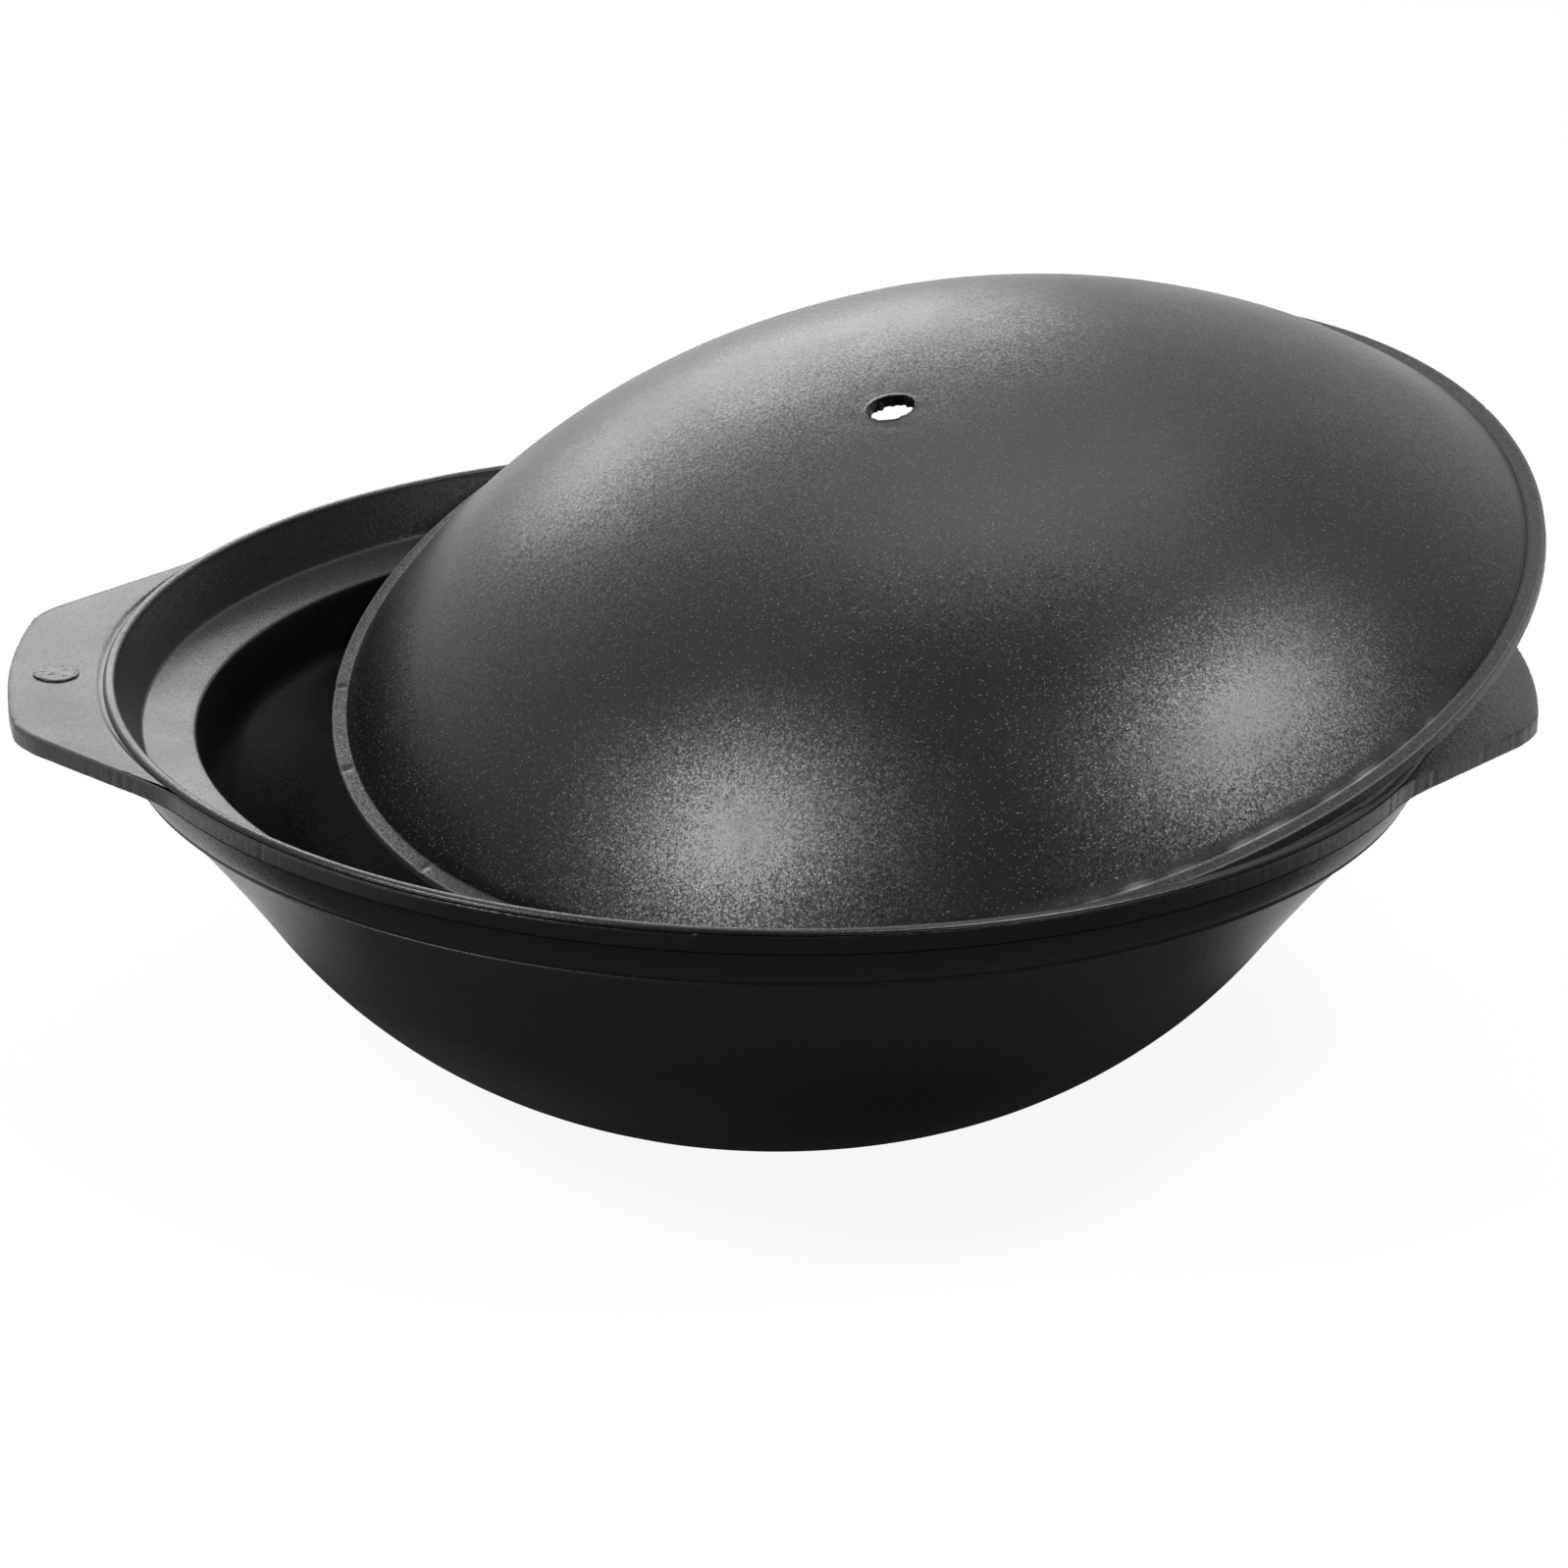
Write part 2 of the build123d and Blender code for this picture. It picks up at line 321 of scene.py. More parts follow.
# %% Profile of the pot's inside
bead_angles = np.linspace(0, math.pi, 13)
outer_quarter = bead_angles < math.pi / 2
bead_half = (bead_outer - bead_inner) / 2
bead_start = np.where(outer_quarter, lug_top - 0.1, rim_height - bead_drop)
bead_rise = np.where(outer_quarter, 1.1, bead_drop)
bead = np.stack((bead_inner + bead_half + bead_half * np.cos(bead_angles),
                 bead_start + np.sin(bead_angles) * bead_rise), 1)

rebate = softened([(bead_inner, rim_height - bead_drop, 0), (ledge_outer, ledge_high, 0.7),
                   (ledge_inner, ledge_low, 0.9), (throat_radius, throat_low, 0)], 1.5)[1:]
inner_bowl = offset_inward(outer_bowl, wall)
under_throat = inner_bowl[:, 0] < throat_radius - 0.4
inner_bowl = inner_bowl[under_throat & (inner_bowl[:, 1] > wall)]
floor_inside = np.array([(r, wall) for r in (44, 36, 24, 12, 1.5)])
inside = np.concatenate((bead, rebate, inner_bowl[::-1], floor_inside))
print("inside of the pot:", len(inside), "points")

# %% [markdown]
# ## The rim's plate
# Between the two profiles lies the plate of the rim and its lugs. Its edge was filed by hand
# after casting. The file went over it most near the lugs, left gouges a few millimetres apart
# and a narrow slanted flat along its top, which is wide on the left front. Between the bead and
# each lug the mould left a fine groove. A bump map could show the gouges, but they break the
# outline against the white ground, so they are cut into the mesh.

# %% What the file left along the edge
around = np.stack((np.cos(angles), np.sin(angles)), 1)
on_rim = around * rim_radius
on_lug = np.clip((edge - rim_radius) / 6, 0, 1)
from_lugs = np.degrees(np.abs(np.mod(angles + math.pi / 2, math.pi) - math.pi / 2))
near_lug = np.clip((62 - from_lugs) / 25, 0.03, 1)

gouge_depth, mark_depth = 0.30, 0.06
gouges = np.clip(uneven(on_rim, 3.2, 11) - 0.5, 0, 1) * gouge_depth
fine_marks = np.clip(uneven(on_rim, 1.7, 12), 0, 1) * mark_depth
ragged = (0.12 + 0.12 * uneven(on_rim, 5.0, 13)) * (1 - 0.6 * on_lug)
left_front = (angles > math.radians(190)) & (angles < math.radians(261))
wide_flat, narrow_flat = 1.05, 0.35
flat_width = np.where(left_front, wide_flat + 0.15 * uneven(on_rim, 40, 14), narrow_flat)
flat_width = flat_width * (1 - 0.55 * on_lug)
print("deepest gouge", round(float(gouges.max()), 2), "mm, widest flat",
      round(float(flat_width.max()), 2), "mm")

# %% Rows of the plate: root, share of the way out, set back, height, filed, gouged, brushed
plate_rows = [(flare_top_radius, share, 0.0, lug_bottom, 0.0, 0.0, 0.0)
              for share in (0.0, 0.12, 0.3, 0.5, 0.7, 0.88)]
for back_off, lift in ((0.55, 0.0), (0.35, 0.06), (0.12, 0.28), (0.0, 0.55)):
    height_here = lug_bottom + lift + np.clip(ragged, 0, 0.8)
    plate_rows.append((flare_top_radius, 1.0, back_off, height_here, 0.6, 0.4, 0.0))
for lift in (1.1, 1.9, 2.8, 3.6):
    plate_rows.append((bead_outer, 1.0, 0.0, lug_bottom + lift, 1.0, 1.0, 0.0))
for share in (1.0, 0.7, 0.35, 0.0):
    height_here = lug_top - flat_width * share * 0.9
    plate_rows.append((bead_outer, 1.0, flat_width * (1 - share), height_here, 1.0, 1.0, 0.0))
for share in (0.92, 0.8, 0.65, 0.5, 0.35, 0.2, 0.11):
    plate_rows.append((bead_outer, share, 0.0, lug_top, 0.3, 0.0, 1.0))
for share, groove in ((0.07, 0.12), (0.05, 0.4), (0.02, 0.5), (0.0, 0.4)):
    plate_rows.append((bead_outer, share, 0.0, lug_top - groove * on_lug, 0.0, 0.0, 0.0))
print("plate:", len(plate_rows), "rows")

# %% [markdown]
# ## Turning the pot
# Every profile point becomes a ring of 1440 steps, less than a millimetre apart, which is fine
# enough for the gouges. Each ring also carries two tags for the finish: how much it was filed,
# and how much it was brushed. On the proud edge the filed tag paints a pale line, a painted
# highlight. Painting masks by hand would do the same, but elsewhere these follow the rows that
# the tools really touched.

# %% Rings of the pot, with their tags
rings, filed_and_highlight, brushed = [], [], []


def plain_ring(radius, height_here, painted_highlight=0.0):
    """Adds a ring that is the same all the way round."""
    rings.append((np.full(steps, radius), np.full(steps, height_here)))
    filed_and_highlight.append(np.full(steps, painted_highlight))
    brushed.append(np.zeros(steps))


# The proud edge's rings get the full filed tag: a pale line painted in as a highlight, besides the
# small ledge in the mesh.
for radius, z in outside:
    on_proud_edge = -0.05 < z - step_outer[1] < 0.4
    plain_ring(radius, z, 1.0 if on_proud_edge else 0.0)
for root, share, back_off, z, mark, gouged, stroked in plate_rows:
    reach = np.maximum(edge - back_off, root)
    radius = root + (reach - root) * share
    if gouged:
        room = np.maximum(radius - root + 0.3, 0)
        radius = radius - np.minimum(gouges * gouged + fine_marks, room)
    rings.append((radius, z + np.zeros(steps)))
    filed_and_highlight.append(mark * near_lug if gouged else np.full(steps, mark))
    brushed.append(stroked * on_lug)
for radius, z in inside:
    plain_ring(radius, z)

pot_grid = np.stack([np.stack((r * around[:, 0], r * around[:, 1], z), 1) for r, z in rings])
print("pot grid", pot_grid.shape)

# %% [markdown]
# A sand mould never gives a perfectly round wall. The pot's skin gets a tenth of a millimetre of
# slow waviness, always inwards so that the casting stays inside its CAD box, and none at the
# foot and the ledge, where it has to sit flat.

# %% Waviness of the pot's skin, and its mesh
radial = np.concatenate((pot_grid[..., :2], np.zeros(pot_grid.shape[:2] + (1,))), -1)
radial /= np.maximum(np.linalg.norm(radial, axis=-1, keepdims=True), 1e-6)
slow = (uneven(pot_grid, 60.0, 21) - 1.2) * 0.10 + (uneven(pot_grid, 18.0, 22) - 1.2) * 0.02
skin = slice(len(foot), len(outside))
fade = np.ones(len(outside) - len(foot))
fade[:6] = np.linspace(0, 1, 6)
pot_grid[skin] += radial[skin] * (slow[skin] * fade[:, None])[..., None]
pot_tags = {"filed_and_highlight": np.stack(filed_and_highlight), "brushed": np.stack(brushed)}
pot = turned_mesh("pot_casting", pot_grid, False, pot_tags)

# %% [markdown]
# ## The pad
# The left lug carries a small round pad, half a millimetre proud, where the mould had a plug.
# It is too small for the pot's grid, so it is a little turned piece of its own, sunk into the
# lug, with a slightly wandering edge and an uneven top.

# %% The pad on the left lug
pad_place, pad_radius, pad_height, pad_sunk = np.array((-192.3, -3.4)), 6.2, 0.5, -0.6
pad_steps = 120
pad_angles = np.arange(pad_steps) * 2 * math.pi / pad_steps
pad_profile = [(1.0, pad_sunk), (pad_radius, pad_sunk), (pad_radius, 0.1),
               (pad_radius - 0.02, 0.26), (pad_radius - 0.12, 0.40), (pad_radius - 0.35, 0.48)]
pad_profile += [(r, pad_height) for r in (5.2, 4.4, 3.5, 2.6, 1.7, 0.9)]
pad_grid = np.stack([np.stack((r * np.cos(pad_angles), r * np.sin(pad_angles),
                               np.full(pad_steps, z)), 1) for r, z in pad_profile])
wander = uneven(pad_grid[..., :2], 6.0, 31) * 0.12
pad_grid[..., :2] *= (1 + wander / pad_radius)[..., None]
pad_grid[4:, :, 2] -= np.clip(uneven(pad_grid[4:], 2.2, 32), 0, 1) * 0.14
pad_grid += (*pad_place, lug_top)
pad = turned_mesh("lug_pad", pad_grid, False)

# %% [markdown]
# ## The lid's profile
# The dome is a flat crown that rolls over into a steeper arc, then a small step, a fillet and a
# flat flange. It is one closed profile that runs over the top, round the edge, back underneath
# and up through the hole. A solidify modifier could thicken a single skin, but the inside of a
# casting has its own curve, so the inside is a profile too.

# %% Profile of the lid
crown_drop = lid_rise - crown_radius


def crown(radius, depth):
    """Point of the crown at a distance from the axis, a given depth inside the dome."""
    return np.array((radius, crown_drop + math.sqrt((crown_radius - depth) ** 2 - radius ** 2)))


def dome(depth, end):
    """Profile of the dome from the hole to its shoulder, a given depth inside."""
    reach = crown_reach * (crown_radius - depth) / crown_radius
    radii = np.concatenate((np.linspace(hole_radius + 0.5, 20, 14), np.linspace(24, reach, 10)))
    flat = np.array([crown(r, depth) for r in radii])
    direction = (flat[-1][1] - crown_drop, -flat[-1][0])
    rolled, _ = tangent_arc(flat[-1], direction, end, 34)
    return np.concatenate((flat, rolled[1:]))


dome_outside = dome(0.0, (shoulder_radius, shoulder_step))
dome_inside = dome(lid_wall, (shoulder_radius - lid_wall, -flange_thickness))
flange = softened([(*dome_outside[-1], 0), (shoulder_radius + 0.25, 0.0, shoulder_fillet),
                   (flange_radius, 0.0, flange_break),
                   (flange_radius, -flange_thickness, flange_break),
                   (*dome_inside[-1], 0)], 0.8)[1:-1]
hole_top, hole_bottom = crown(hole_radius, 0.0)[1], crown(hole_radius, lid_wall)[1]
hole_wall = np.array([(hole_radius + 0.25, hole_bottom + 0.02),
                      (hole_radius + 0.02, hole_bottom + 0.25)]
                     + [(hole_radius, z) for z in np.linspace(hole_bottom + 0.6, hole_top - 0.6, 7)]
                     + [(hole_radius + 0.06, hole_top - 0.25),
                        (hole_radius + 0.22, hole_top - 0.07)])
lid_profile = np.concatenate((dome_outside, flange, dome_inside[::-1], hole_wall))
print("lid profile", len(lid_profile), "points")

# %% [markdown]
# ## Turning the lid
# What makes the lid look cast: slow waviness over the dome, fine ripples where the knob's boss
# was knocked off, and a ragged flash inside the hole. All of it is in the mesh, because the
# glow of a soft box on a dome shows a wave of a tenth of a millimetre.

# %% Turning the lid, with its waves and its ragged hole
local = np.stack([np.stack((r * around[:, 0], r * around[:, 1], np.full(steps, z)), 1)
                  for r, z in lid_profile])
out_way = np.concatenate((around, np.zeros((steps, 1))), 1)
distance = np.linalg.norm(local[..., :2], axis=-1)
row = np.arange(len(lid_profile))[:, None] + np.zeros((1, steps), int)
on_dome = row < len(dome_outside)
in_hole = row >= len(lid_profile) - len(hole_wall)

waviness = (uneven(local, 55.0, 41) - 1.3) * 0.10 + (uneven(local, 16.0, 42) - 1.3) * 0.018
edge_fade = np.clip((shoulder_radius - distance) / 6, 0, 1)
local[..., 2] += np.where(on_dome, waviness * edge_fade, 0)

near_hole = np.exp(-((distance - hole_radius - 1.5) / 5.5) ** 2)
boss_ripples = (uneven(local, 9.0, 43) - 1.0) * 0.07 * near_hole
local[..., 2] += np.where(on_dome, boss_ripples, 0)

on_hole = around * hole_radius
ragged_hole = uneven(on_hole, 3.0, 44) * 0.22 + uneven(on_hole, 1.4, 45) * 0.12
flash = np.clip(0.55 + uneven(on_hole, 2.4, 46), 0.05, 1.6) * 0.75
down_hole = np.clip((hole_top - local[..., 2]) / lid_wall, 0, 1)
squeeze = ragged_hole * (1 - down_hole) - flash * down_hole ** 3
local += out_way * np.where(in_hole, squeeze, 0)[..., None]
print("hole narrows by up to", round(float(flash.max()), 2), "mm at its lower edge")

# %% [markdown]
# The flange was dressed on a grinder, which left fine dents round its edge and four nicks on the
# left. Each nick is placed by a point of the pot's frame, in mm, near which it is seen, and the
# point is turned into an angle round the lid. At the foot of the dome, on the front right, a pale
# line is painted into the coat as a highlight. That is a tag for the colour, not a shape.

# %% Nicks and dressing marks on the lid's flange
on_flange = (row >= len(dome_outside)) & (distance > shoulder_radius + 1)
flange_edge = on_flange & (distance > flange_radius - 0.7)
ring = around * flange_radius
dressing = np.clip(uneven(ring, 4.0, 51) - 0.7, 0, 1) * 0.18
dressing += np.clip(uneven(ring, 1.6, 52), 0, 1) * 0.04
local -= out_way * np.where(flange_edge, dressing, 0)[..., None]


def lid_angle(point):
    """Angle round the lid of a place in the pot's frame, in mm."""
    away = Vector(point) - lid_centre
    return math.atan2(away.dot(lid_along), away.dot(lid_across)) % (2 * math.pi)


def turn_from(middle):
    """Signed angle from a place round the lid to each step."""
    return (angles - middle + math.pi) % (2 * math.pi) - math.pi


nicks = [((-120, 55, 87), 1.0, 0.45), ((-118, 10, 84), 1.3, 0.5),
         ((-101, -50, 82), 1.4, 0.55), ((-88, -72, 82), 1.0, 0.4)]
for place, width, depth in nicks:
    cut = np.exp(-(turn_from(lid_angle(place)) * flange_radius / width) ** 2) * depth
    deepen = np.clip((distance - shoulder_radius) / 3, 0, 1)
    local[..., 2] -= np.where(on_flange & (local[..., 2] > -1.5), cut * deepen, 0)
print(len(nicks), "nicks")

# %% Leaning the lid into its place
# Painted highlight: a pale line round the foot of the dome on the front right, where the fillet
# would glint; its tag goes above 1 to paint it paler than a filed edge.
painted_line_from, painted_line_to = lid_angle((40, -150, 100)), lid_angle((190, -60, 108))
painted_line_middle, painted_line_half = (painted_line_from + painted_line_to) / 2, abs(painted_line_to - painted_line_from) / 2
painted_line = np.clip((painted_line_half - np.abs(turn_from(painted_line_middle))) / 0.15, 0, 1)
painted_line = painted_line * (0.8 + 0.2 * uneven(on_rim, 14, 53))
dome_foot = (row >= len(dome_outside) - 1) & (row < len(dome_outside) + 4)
lid_tags = {"filed_and_highlight": np.maximum(np.where(flange_edge, 1.0, 0.0),
                                np.where(dome_foot, painted_line_level * painted_line, 0.0))}

lean = Matrix((lid_across, lid_along, lid_axis))
lid_grid = local @ np.array(lean) + np.array(lid_centre)
lid = turned_mesh("lid_casting", lid_grid, True, lid_tags)

# %% [markdown]
# ## Finish
# The metal is cast aluminium, but the eye never meets it: a satin black coating is baked on.
# It behaves as a rough dielectric, so it gives a faint, wide sheen at most angles and a bright
# one at a glance. Its typical index is 1.5 and its roughness 0.3 to 0.5. The sand's grain shows
# through the coat as sparkle. Each grain, 0.2 to 0.4 mm across, tips the coat its own way,
# so it catches the lamp a little sooner or later than its neighbours. The grains are drawn at
# 0.42 mm on the lid and 0.45 mm on the pot, one or two pixels of the picture. A bump map alone
# makes soft swellings; cells that each turn the surface normal give the hard points of light of
# the real coat. A few cells are bright flakes, and a few wider ones are pits.

# %% Grain of the sand under the coat
def sand_grain(tree, place, grain):
    """Bright flakes, a relief with pits, and the way each grain tips. The grain is in mm."""
    grains = add(tree, "TexVoronoi", Vector=place, Scale=1000 / grain, Randomness=1.0)
    lottery = add(tree, "SeparateColor", Color=grains.outputs["Color"]).outputs["Red"]
    drawn = add(tree, "MapRange", Value=lottery, From_Min=0.93, From_Max=0.96).outputs["Result"]
    middle = add(tree, "MapRange", Value=grains.outputs["Distance"], From_Min=0.25, From_Max=0.6,
                 To_Min=1.0, To_Max=0.0).outputs["Result"]
    flake = add(tree, "Math", {"operation": "MULTIPLY"}, i0=drawn, i1=middle).outputs[0]

    pits = add(tree, "TexVoronoi", Vector=place, Scale=1000 / (grain * 3.0), Randomness=1.0)
    pit_lottery = add(tree, "SeparateColor", Color=pits.outputs["Color"]).outputs["Red"]
    is_pit = add(tree, "Math", {"operation": "GREATER_THAN"}, i0=pit_lottery, i1=0.90).outputs[0]
    hollow = add(tree, "MapRange", Value=pits.outputs["Distance"], From_Min=0.08, From_Max=0.26,
                 To_Min=1.0, To_Max=0.0).outputs["Result"]
    pit = add(tree, "Math", {"operation": "MULTIPLY"}, i0=is_pit, i1=hollow).outputs[0]
    swell = add(tree, "TexNoise", Vector=place, Scale=1000 / (grain * 2.0), Detail=1.0,
                Roughness=0.5).outputs["Fac"]
    relief = add(tree, "Math", {"operation": "MULTIPLY_ADD"}, i0=pit, i1=-0.8, i2=swell).outputs[0]
    tips = add(tree, "VectorMath", {"operation": "SUBTRACT"}, i0=grains.outputs["Color"],
               i1=(0.5, 0.5, 0.5)).outputs[0]
    return flake, relief, tips


# %% [markdown]
# ## Strokes of the tools
# The file ran up and down the edge of the plate, and a coarse brush ran front to back over the
# tops of the lugs. Both left strokes about a millimetre apart and several times as long. A
# picture of scratches would repeat; noise that is stretched along the stroke doesn't.

# %% Strokes of the file and the brush
def tool_strokes(tree, place, filed_and_highlight_part, relief):
    """The relief with the file's and the brush's strokes added."""
    upright = add(tree, "Mapping", Vector=place, Scale=(1.0, 1.0, 0.16)).outputs["Vector"]
    strokes = add(tree, "TexNoise", Vector=upright, Scale=1100.0, Detail=2.0,
                  Roughness=0.7).outputs["Fac"]
    scratched = add(tree, "Math", {"operation": "MULTIPLY"}, i0=strokes, i1=filed_and_highlight_part).outputs[0]
    edge_relief = add(tree, "Math", {"operation": "MULTIPLY_ADD"}, i0=scratched, i1=4.0,
                      i2=relief).outputs[0]

    brushed_part = add(tree, "Attribute", {"attribute_name": "brushed"}).outputs["Fac"]
    swept = add(tree, "Mapping", Vector=place, Rotation=(0, 0, math.radians(9)),
                Scale=(1.0, 0.09, 1.0)).outputs["Vector"]
    sweeps = add(tree, "TexNoise", Vector=swept, Scale=900.0, Detail=2.0,
                 Roughness=0.7).outputs["Fac"]
    cuts = add(tree, "MapRange", Value=sweeps, From_Min=0.52, From_Max=0.66).outputs["Result"]
    cut = add(tree, "Math", {"operation": "MULTIPLY"}, i0=cuts, i1=brushed_part).outputs[0]
    return add(tree, "Math", {"operation": "MULTIPLY_ADD"}, i0=cut, i1=-2.2,
               i2=edge_relief).outputs[0]


# %% [markdown]
# ## The coat
# Colour and roughness drift a little in patches about 40 mm wide, where the coat lies thicker or
# thinner. Filed parts are paler and rougher. The same tag paints two pale lines as highlights:
# the proud edge where the bowl's mould ended, and the foot of the dome on the front right, paler
# still. The pot's copy of the coat is darker, and its sparkle fainter, than the lid's: painted
# shade.

# %% The satin black coat over sand-cast aluminium
def satin_black_casting(name, dark, pale, flake_colour, roughness, grain, grain_depth, tip):
    """Coat over a sand casting. The grain and its depth are in mm; tip is how far grains lean."""
    material = bpy.data.materials.new(name)
    material.use_nodes = True
    tree = material.node_tree
    tree.nodes.clear()
    place = add(tree, "TexCoord").outputs["Object"]
    filed_and_highlight_part = add(tree, "Attribute", {"attribute_name": "filed_and_highlight"}).outputs["Fac"]
    flake, relief, tips = sand_grain(tree, place, grain)

    height_map = tool_strokes(tree, place, filed_and_highlight_part, relief)
    bump = add(tree, "Bump", Strength=1.0, Distance=grain_depth * MM,
               Height=height_map).outputs["Normal"]
    tipped = add(tree, "VectorMath", {"operation": "MULTIPLY_ADD"}, i0=tips, i1=(tip, tip, tip),
                 i2=bump).outputs[0]
    facing = add(tree, "VectorMath", {"operation": "NORMALIZE"}, i0=tipped).outputs[0]

    patches = add(tree, "TexNoise", Vector=place, Scale=25.0, Detail=4.0,
                  Roughness=0.6).outputs["Fac"]
    coated = add(tree, "Mix", {"data_type": "RGBA"}, i0=patches, i6=colour(dark),
                 i7=colour(pale)).outputs[2]
    # Filed parts turn paler grey; the same tag paints the pale highlight lines on the proud edge
    # and the foot of the dome, and above 1 it mixes in a paler grey still, a painted highlight.
    paled_by_file_and_highlight = add(tree, "Mix", {"data_type": "RGBA"}, i0=filed_and_highlight_part, i6=coated,
                 i7=colour("#404040")).outputs[2]
    painted_line_part = add(tree, "MapRange", Value=filed_and_highlight_part, From_Min=1.0,
                      From_Max=painted_line_level).outputs["Result"]
    with_painted_line = add(tree, "Mix", {"data_type": "RGBA"}, i0=painted_line_part, i6=paled_by_file_and_highlight,
               i7=colour("#8c8c8c")).outputs[2]
    flaked = add(tree, "Mix", {"data_type": "RGBA"}, i0=flake, i6=with_painted_line,
                 i7=colour(flake_colour)).outputs[2]

    smoother = add(tree, "MapRange", Value=patches, From_Min=0.3, From_Max=0.7,
                   To_Min=roughness - 0.03, To_Max=roughness + 0.04).outputs["Result"]
    rough = add(tree, "Math", {"operation": "MULTIPLY_ADD"}, i0=filed_and_highlight_part, i1=0.08,
                i2=smoother).outputs[0]
    coat = add(tree, "BsdfPrincipled", Base_Color=flaked, Roughness=rough, Normal=facing,
               Metallic=0.0, IOR=1.5)
    coat.inputs["Specular IOR Level"].default_value = 0.5
    add(tree, "OutputMaterial", Surface=coat.outputs["BSDF"])
    return material


coat_roughness, grain_height = 0.33, 0.02
pot_grain, pot_tip = 0.45, 0.10
lid_grain, lid_tip = 0.42, 0.145
# The pot's copy of the coat is darker, with dimmer flakes, than the lid's: painted shade, as both
# castings wear one coat.
pot_coat = satin_black_casting("satin_black_coat_pot", "#080808", "#0c0c0c", "#141414",
                               coat_roughness, pot_grain, grain_height, pot_tip)
lid_coat = satin_black_casting("satin_black_coat_lid", "#0e0e0e", "#141414", "#6a6a6a",
                               coat_roughness, lid_grain, grain_height, lid_tip)
pot.data.materials.append(pot_coat)
pad.data.materials.append(pot_coat)
lid.data.materials.append(lid_coat)
print("materials", [m.name for m in (pot_coat, lid_coat)])

# %% [markdown]
# ## Floor and walls
# The floor is a sheet of studio paper. Its diffuse colour is a plain grey, so that it throws
# little light up at the black bowl, and a lift that only the camera and glass meet shows it as
# white and keeps the pot's soft shadow. Reflections meet the same white paper where it is lit,
# on the far side, and almost none close round the pot, which stands in its own shade. The walls
# are white to the camera, pale behind the pot and dark behind the camera.

# %% The floor
paper_lift = 0.92    # what the camera sees of the paper, where 1 is white
shaded_paper = 0.03  # what reflections see of the paper close to the pot
wall_fill = 0.12     # what the walls give to the object
far = 6.0
floor_mesh = bpy.data.meshes.new("floor")
floor_mesh.from_pydata([(-far, -far, 0), (far, -far, 0), (far, far, 0), (-far, far, 0)], [],
                       [(0, 1, 2, 3)])
floor = bpy.data.objects.new("floor", floor_mesh)
bpy.context.scene.collection.objects.link(floor)


def shown_level(tree, camera_level, mirror_level):
    """A level for rays from the camera or through glass, another for reflections, else nothing."""
    path = add(tree, "LightPath")
    through = add(tree, "Math", {"operation": "MAXIMUM"}, i0=path.outputs["Is Camera Ray"],
                  i1=path.outputs["Is Transmission Ray"]).outputs[0]
    seen = add(tree, "Math", {"operation": "MULTIPLY"}, i0=through, i1=camera_level).outputs[0]
    return add(tree, "Math", {"operation": "MULTIPLY_ADD"}, i0=path.outputs["Is Glossy Ray"],
               i1=mirror_level, i2=seen).outputs[0]


floor_paper = bpy.data.materials.new("pale_floor_paper")
floor_paper.use_nodes = True
tree = floor_paper.node_tree
tree.nodes.clear()
paper = add(tree, "BsdfDiffuse", Color=colour("#5e5e5e")).outputs["BSDF"]
spot = add(tree, "TexCoord").outputs["Object"]
across_floor = add(tree, "SeparateXYZ", Vector=spot).outputs["Y"]
behind = add(tree, "MapRange", Value=across_floor, From_Min=-0.06, From_Max=0.02,
             To_Min=shaded_paper, To_Max=1.0).outputs["Result"]
from_pot = add(tree, "VectorMath", {"operation": "LENGTH"}, i0=spot).outputs["Value"]
clear = add(tree, "MapRange", Value=from_pot, From_Min=0.15, From_Max=0.172,
            To_Min=shaded_paper, To_Max=1.0).outputs["Result"]
far_side = add(tree, "Math", {"operation": "MINIMUM"}, i0=behind, i1=clear).outputs[0]
lift = add(tree, "Emission", Color=(1, 1, 1, 1),
           Strength=shown_level(tree, paper_lift, far_side)).outputs["Emission"]
both = add(tree, "AddShader", i0=paper, i1=lift).outputs["Shader"]
add(tree, "OutputMaterial", Surface=both)
floor_mesh.materials.append(floor_paper)
print("floor", 2 * far, "m wide")

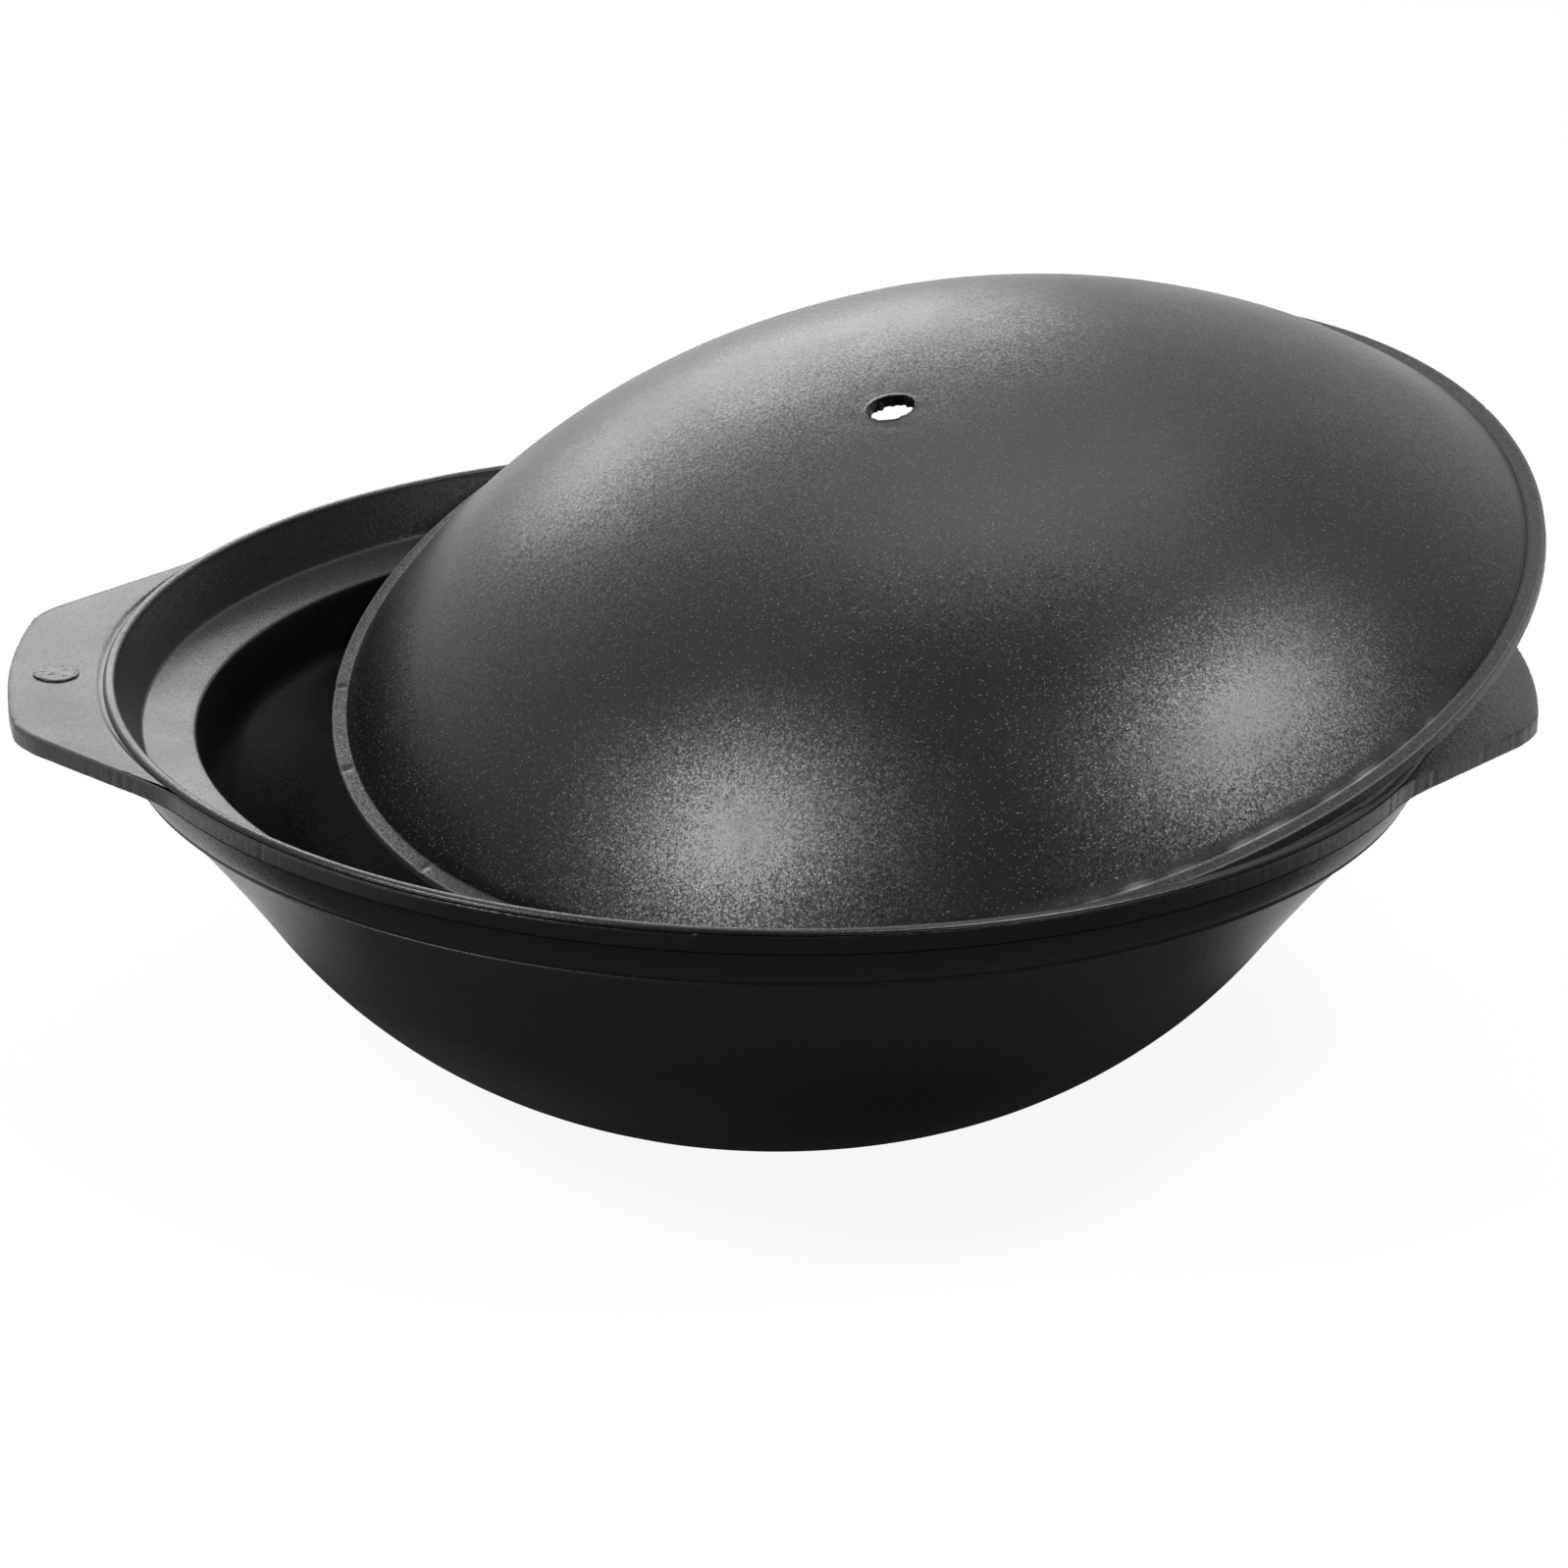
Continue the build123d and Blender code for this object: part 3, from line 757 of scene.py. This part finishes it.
# %% The walls
world = bpy.data.worlds.new("studio_walls")
world.use_nodes = True
bpy.context.scene.world = world
tree = world.node_tree
tree.nodes.clear()
way = add(tree, "TexCoord").outputs["Generated"]
depth = add(tree, "SeparateXYZ", Vector=way).outputs["Y"]
room = add(tree, "MapRange", Value=depth, From_Min=-0.1, From_Max=0.7,
           To_Min=0.08, To_Max=0.8).outputs["Result"]
level = shown_level(tree, 1.0, room)
lit = add(tree, "Math", {"operation": "MAXIMUM"}, i0=level, i1=wall_fill).outputs[0]
walls = add(tree, "Background", Color=(1, 1, 1, 1), Strength=lit).outputs["Background"]
add(tree, "OutputWorld", Surface=walls)
print("walls give", wall_fill, "of white to the object")

# %% [markdown]
# ## Lamps
# The object was shot as product shots are: two soft boxes above the front, one each side, whose
# reflections are the two glows on the dome, and a wide pale screen low behind, which lights the
# flat lug, the ledge and the far side of the dome at a glance. A weak box high behind fills in.
# Area lamps are used because their size sets how wide each glow is.

# %% Soft boxes
def soft_box(name, azimuth, elevation, distance, width, height, radiance):
    """Area lamp aimed at the pot. Azimuth 0 is in front, 90 on the right. Radiance 1 is white."""
    a, e = math.radians(azimuth), math.radians(elevation)
    way = Vector((math.sin(a) * math.cos(e), -math.cos(a) * math.cos(e), math.sin(e)))
    data = bpy.data.lights.new(name, "AREA")
    data.shape, data.size, data.size_y = "RECTANGLE", width, height
    data.energy = radiance * math.pi * width * height
    lamp = bpy.data.objects.new(name, data)
    bpy.context.scene.collection.objects.link(lamp)
    lamp.location = Vector((0, 0, 0.12)) + way * distance
    lamp.rotation_euler = way.to_track_quat("Z", "Y").to_euler()
    lamp.visible_camera = False
    print(name, round(data.energy, 1), "W")


soft_box("soft_box_left", -64, 42.5, 1.5, 0.46, 0.46, 21.0)
soft_box("soft_box_right", 60, 59.5, 1.5, 0.75, 0.34, 17.0)
soft_box("screen_behind", -167.5, 20, 1.9, 1.1, 0.42, 5.0)
soft_box("soft_box_overhead", 178, 66, 1.6, 0.9, 0.7, 1.8)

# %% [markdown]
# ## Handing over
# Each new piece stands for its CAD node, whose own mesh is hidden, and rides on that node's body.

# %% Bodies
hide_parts("pot")
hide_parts("lid")
for piece, body, slot in ((pot, "pot_body", "pot_casting"), (pad, "pot_body", "pot_casting"),
                          (lid, "lid_body", "lid_casting")):
    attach(piece, body)
